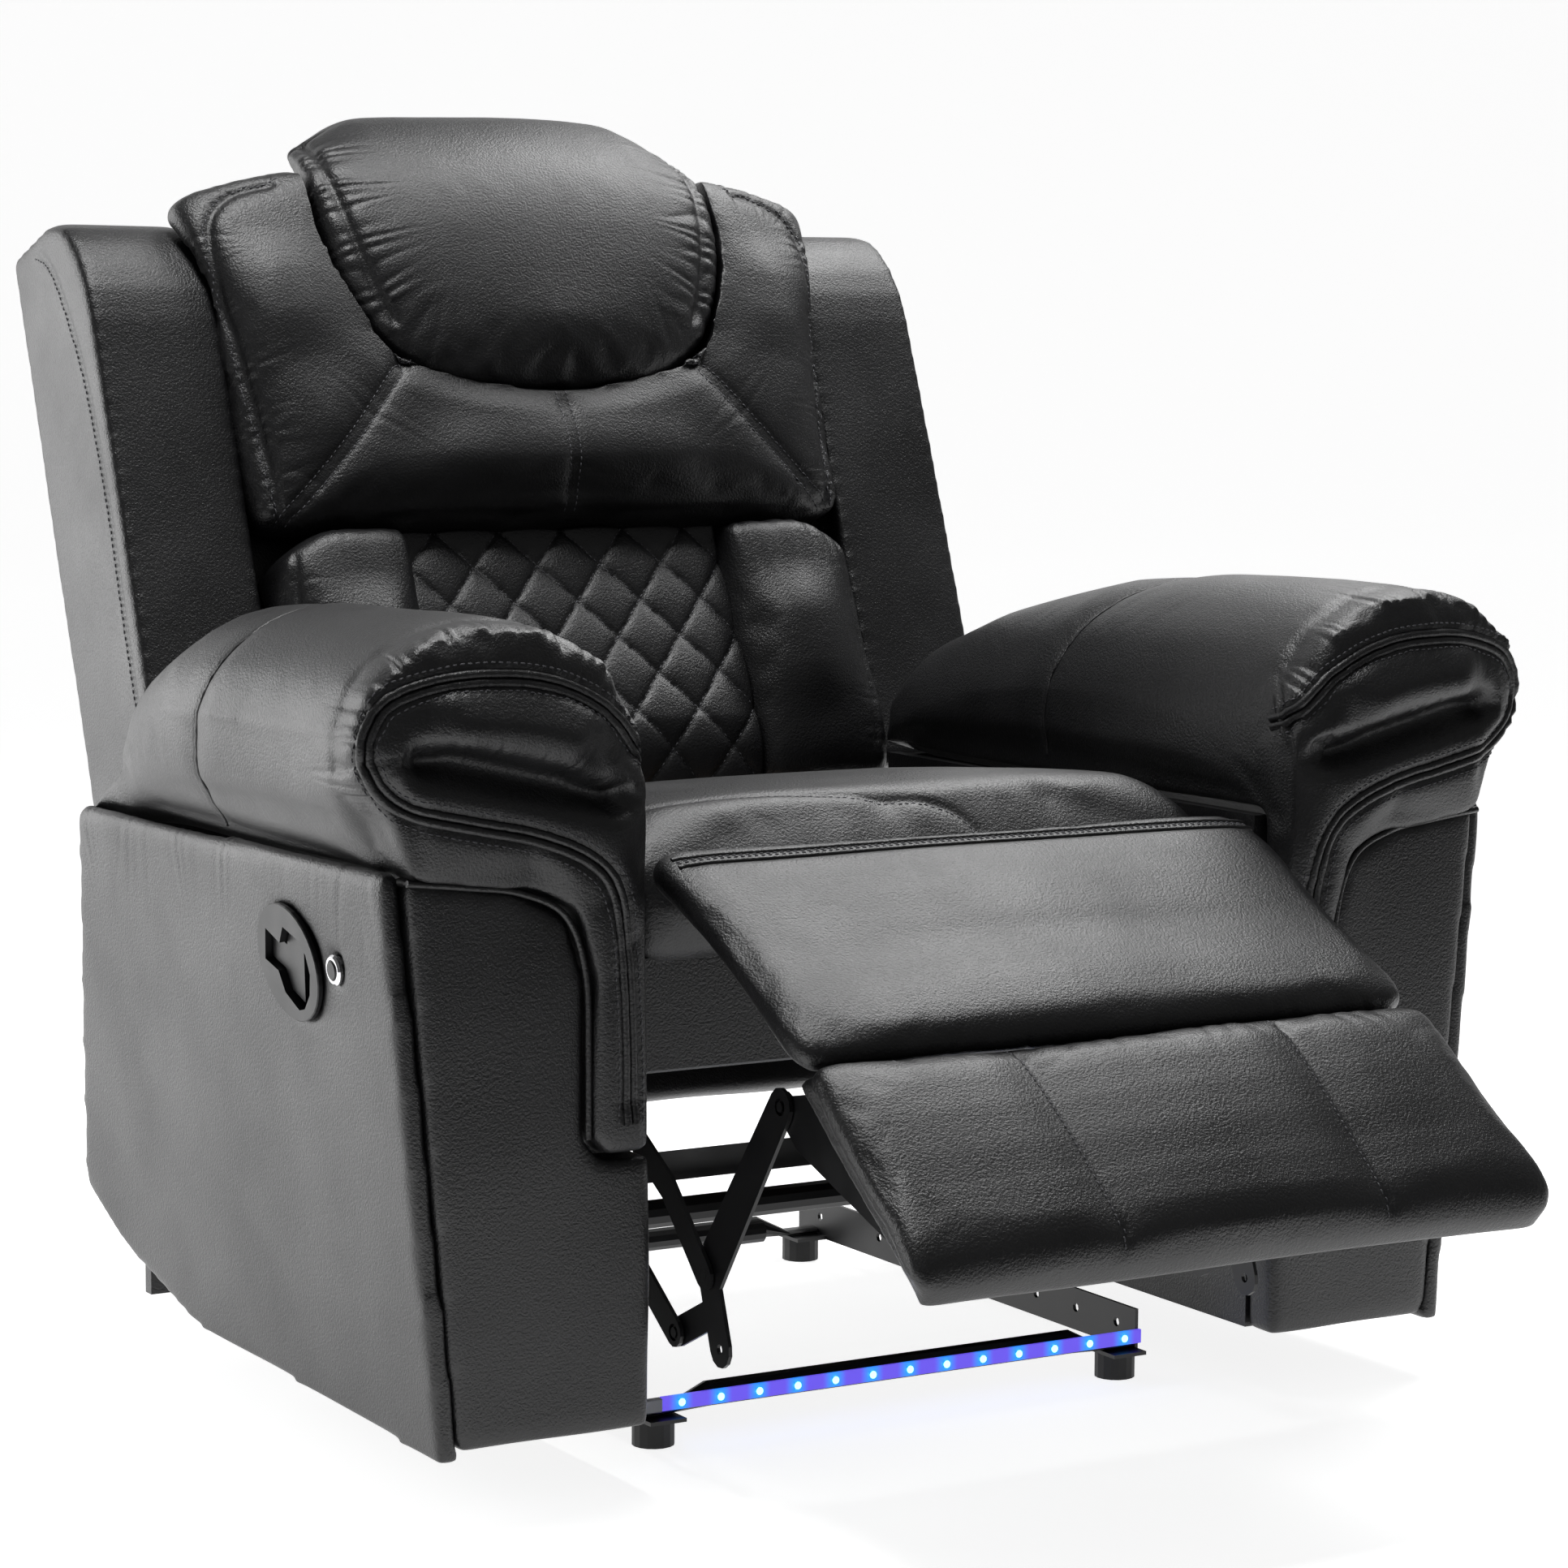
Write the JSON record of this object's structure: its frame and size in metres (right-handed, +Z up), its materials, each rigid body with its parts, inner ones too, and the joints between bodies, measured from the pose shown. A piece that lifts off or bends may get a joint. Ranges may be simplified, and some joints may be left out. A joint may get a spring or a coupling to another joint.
{
  "type": "home theater recliner",
  "caption": "Single home theater recliner: padded rolled arms, quilted lumbar, head pillow, folding footrest, reclining back, side release handle and blue under-seat light strip.",
  "frame": {"origin": "on the floor under the middle of the chair in its rest pose: back upright, footrest partly open", "axes": "+Z up, the chair faces -Y, +X is the sitter's left"},
  "size_m": [1.0536, 1.2767, 1.0301],
  "materials": {
    "leather": "black bonded leather, fine grain, half gloss",
    "black_steel": "black enamelled steel",
    "timber": "raw plywood and batten, hidden",
    "plastic": "fine matt black",
    "chrome": "polished",
    "foot_rubber": "matt black",
    "cable_sheath": "smooth black sheath",
    "light": "blue lit strip with small raised lights",
    "light_plug": "white moulded plug"
  },
  "bodies": {
    "chair": {"arm_front_pad_left": "leather", "arm_front_pad_right": "leather", "arm_front_panel_left": "leather", "arm_front_panel_right": "leather", "arm_inner_panel_left": "leather", "arm_inner_panel_right": "leather", "arm_outer_panel_left": "leather", "arm_outer_panel_right": "leather", "arm_roll_left": "leather", "arm_roll_right": "leather", "arm_welt_left": "leather", "arm_welt_right": "leather", "base_rail_left": "black_steel", "base_rail_right": "black_steel", "button_ring": "chrome", "cross_brace": "black_steel", "foot_front_left": "foot_rubber", "foot_front_right": "foot_rubber", "foot_rear_left": "foot_rubber", "foot_rear_right": "foot_rubber", "front_cross_tube": "black_steel", "handle_bezel": "plastic", "led_connector": "light_plug", "led_strip": "light", "mechanism_plate_left": "black_steel", "mechanism_plate_right": "black_steel", "rear_cross_tube": "black_steel", "release_cable": "cable_sheath", "seat_cushion": "leather", "seat_rail_front": "timber", "seat_rail_left": "timber", "seat_rail_rear": "timber", "seat_rail_right": "timber", "seat_springs": "black_steel", "seat_valance": "leather", "torque_tube": "black_steel"},
    "back": {"back_frame": "leather", "back_rear_panel": "leather", "recline_bracket_left": "black_steel", "recline_bracket_right": "black_steel", "back_wing_left": "leather", "back_wing_right": "leather", "shoulder_cushion": "leather", "head_pillow": "leather", "lumbar_quilt": "leather", "lumbar_bolster_left": "leather", "lumbar_bolster_right": "leather"},
    "chaise": {"chaise_pad": "leather"},
    "ottoman": {"ottoman_pad": "leather", "ottoman_board": "leather", "ottoman_bracket_left": "black_steel", "ottoman_bracket_right": "black_steel"},
    "upper_link_left_body": {"upper_link_left": "black_steel"},
    "upper_link_right_body": {"upper_link_right": "black_steel"},
    "carrier_left_body": {"carrier_link_left": "black_steel"},
    "carrier_right_body": {"carrier_link_right": "black_steel"},
    "lower_link_left_body": {"lower_link_left": "black_steel"},
    "lower_link_right_body": {"lower_link_right": "black_steel"},
    "lever": {"release_lever": "plastic"},
    "cap": {"button_cap": "plastic"}
  },
  "joints": [
    {"name": "footrest_extend", "type": "hinge", "parent": "chair", "child": "chaise", "pos_m": [0, -0.26426, 0.4453], "axis": [-1, 0, 0], "range_deg": [-61, 24]},
    {"name": "footrest_fold", "type": "hinge", "parent": "chaise", "child": "ottoman", "pos_m": [0, -0.45886, 0.33743], "axis": [-1, 0, 0], "range_deg": [-7.3, 18.2]},
    {"name": "upper_link_left", "type": "hinge", "parent": "chair", "child": "upper_link_left_body", "pos_m": [0, -0.14386, 0.274], "axis": [-1, 0, 0], "range_deg": [-63.8, 25.3]},
    {"name": "carrier_left", "type": "hinge", "parent": "upper_link_left_body", "child": "carrier_left_body", "pos_m": [0, -0.299, 0.1592], "axis": [-1, 0, 0], "range_deg": [-27.6, 69.8]},
    {"name": "lower_link_left", "type": "hinge", "parent": "chair", "child": "lower_link_left_body", "pos_m": [0, -0.09786, 0.216], "axis": [-1, 0, 0], "range_deg": [-63.7, 25.2]},
    {"name": "upper_link_right", "type": "hinge", "parent": "chair", "child": "upper_link_right_body", "pos_m": [0, -0.14386, 0.274], "axis": [-1, 0, 0], "range_deg": [-63.8, 25.3]},
    {"name": "carrier_right", "type": "hinge", "parent": "upper_link_right_body", "child": "carrier_right_body", "pos_m": [0, -0.299, 0.1592], "axis": [-1, 0, 0], "range_deg": [-27.6, 69.8]},
    {"name": "lower_link_right", "type": "hinge", "parent": "chair", "child": "lower_link_right_body", "pos_m": [0, -0.09786, 0.216], "axis": [-1, 0, 0], "range_deg": [-63.7, 25.2]},
    {"name": "back_recline", "type": "hinge", "parent": "chair", "child": "back", "pos_m": [0, 0.26714, 0.3], "axis": [-1, 0, 0], "range_deg": [0, 35]},
    {"name": "release_lever", "type": "hinge", "parent": "chair", "child": "lever", "pos_m": [-0.48429, -0.08785, 0.38531], "axis": [0.0948, 0, -0.9955], "range_deg": [0, 18], "stiffness_Nm_per_rad": 0.4, "springref_deg": -8.59},
    {"name": "button_press", "type": "slide", "parent": "chair", "child": "cap", "axis": [0.9955, 0, 0.0948], "range_m": [0, 0.002], "stiffness_N_per_m": 600, "springref_m": -0.0005}
  ],
  "couplings": [
    {"joint": "footrest_fold", "follows": "footrest_extend", "ratio": -0.29508},
    {"joint": "upper_link_left", "follows": "footrest_extend", "ratio": 1.042},
    {"joint": "carrier_left", "follows": "footrest_extend", "ratio": -1.14},
    {"joint": "lower_link_left", "follows": "footrest_extend", "ratio": 1.04},
    {"joint": "upper_link_right", "follows": "footrest_extend", "ratio": 1.042},
    {"joint": "carrier_right", "follows": "footrest_extend", "ratio": -1.14},
    {"joint": "lower_link_right", "follows": "footrest_extend", "ratio": 1.04}
  ]
}
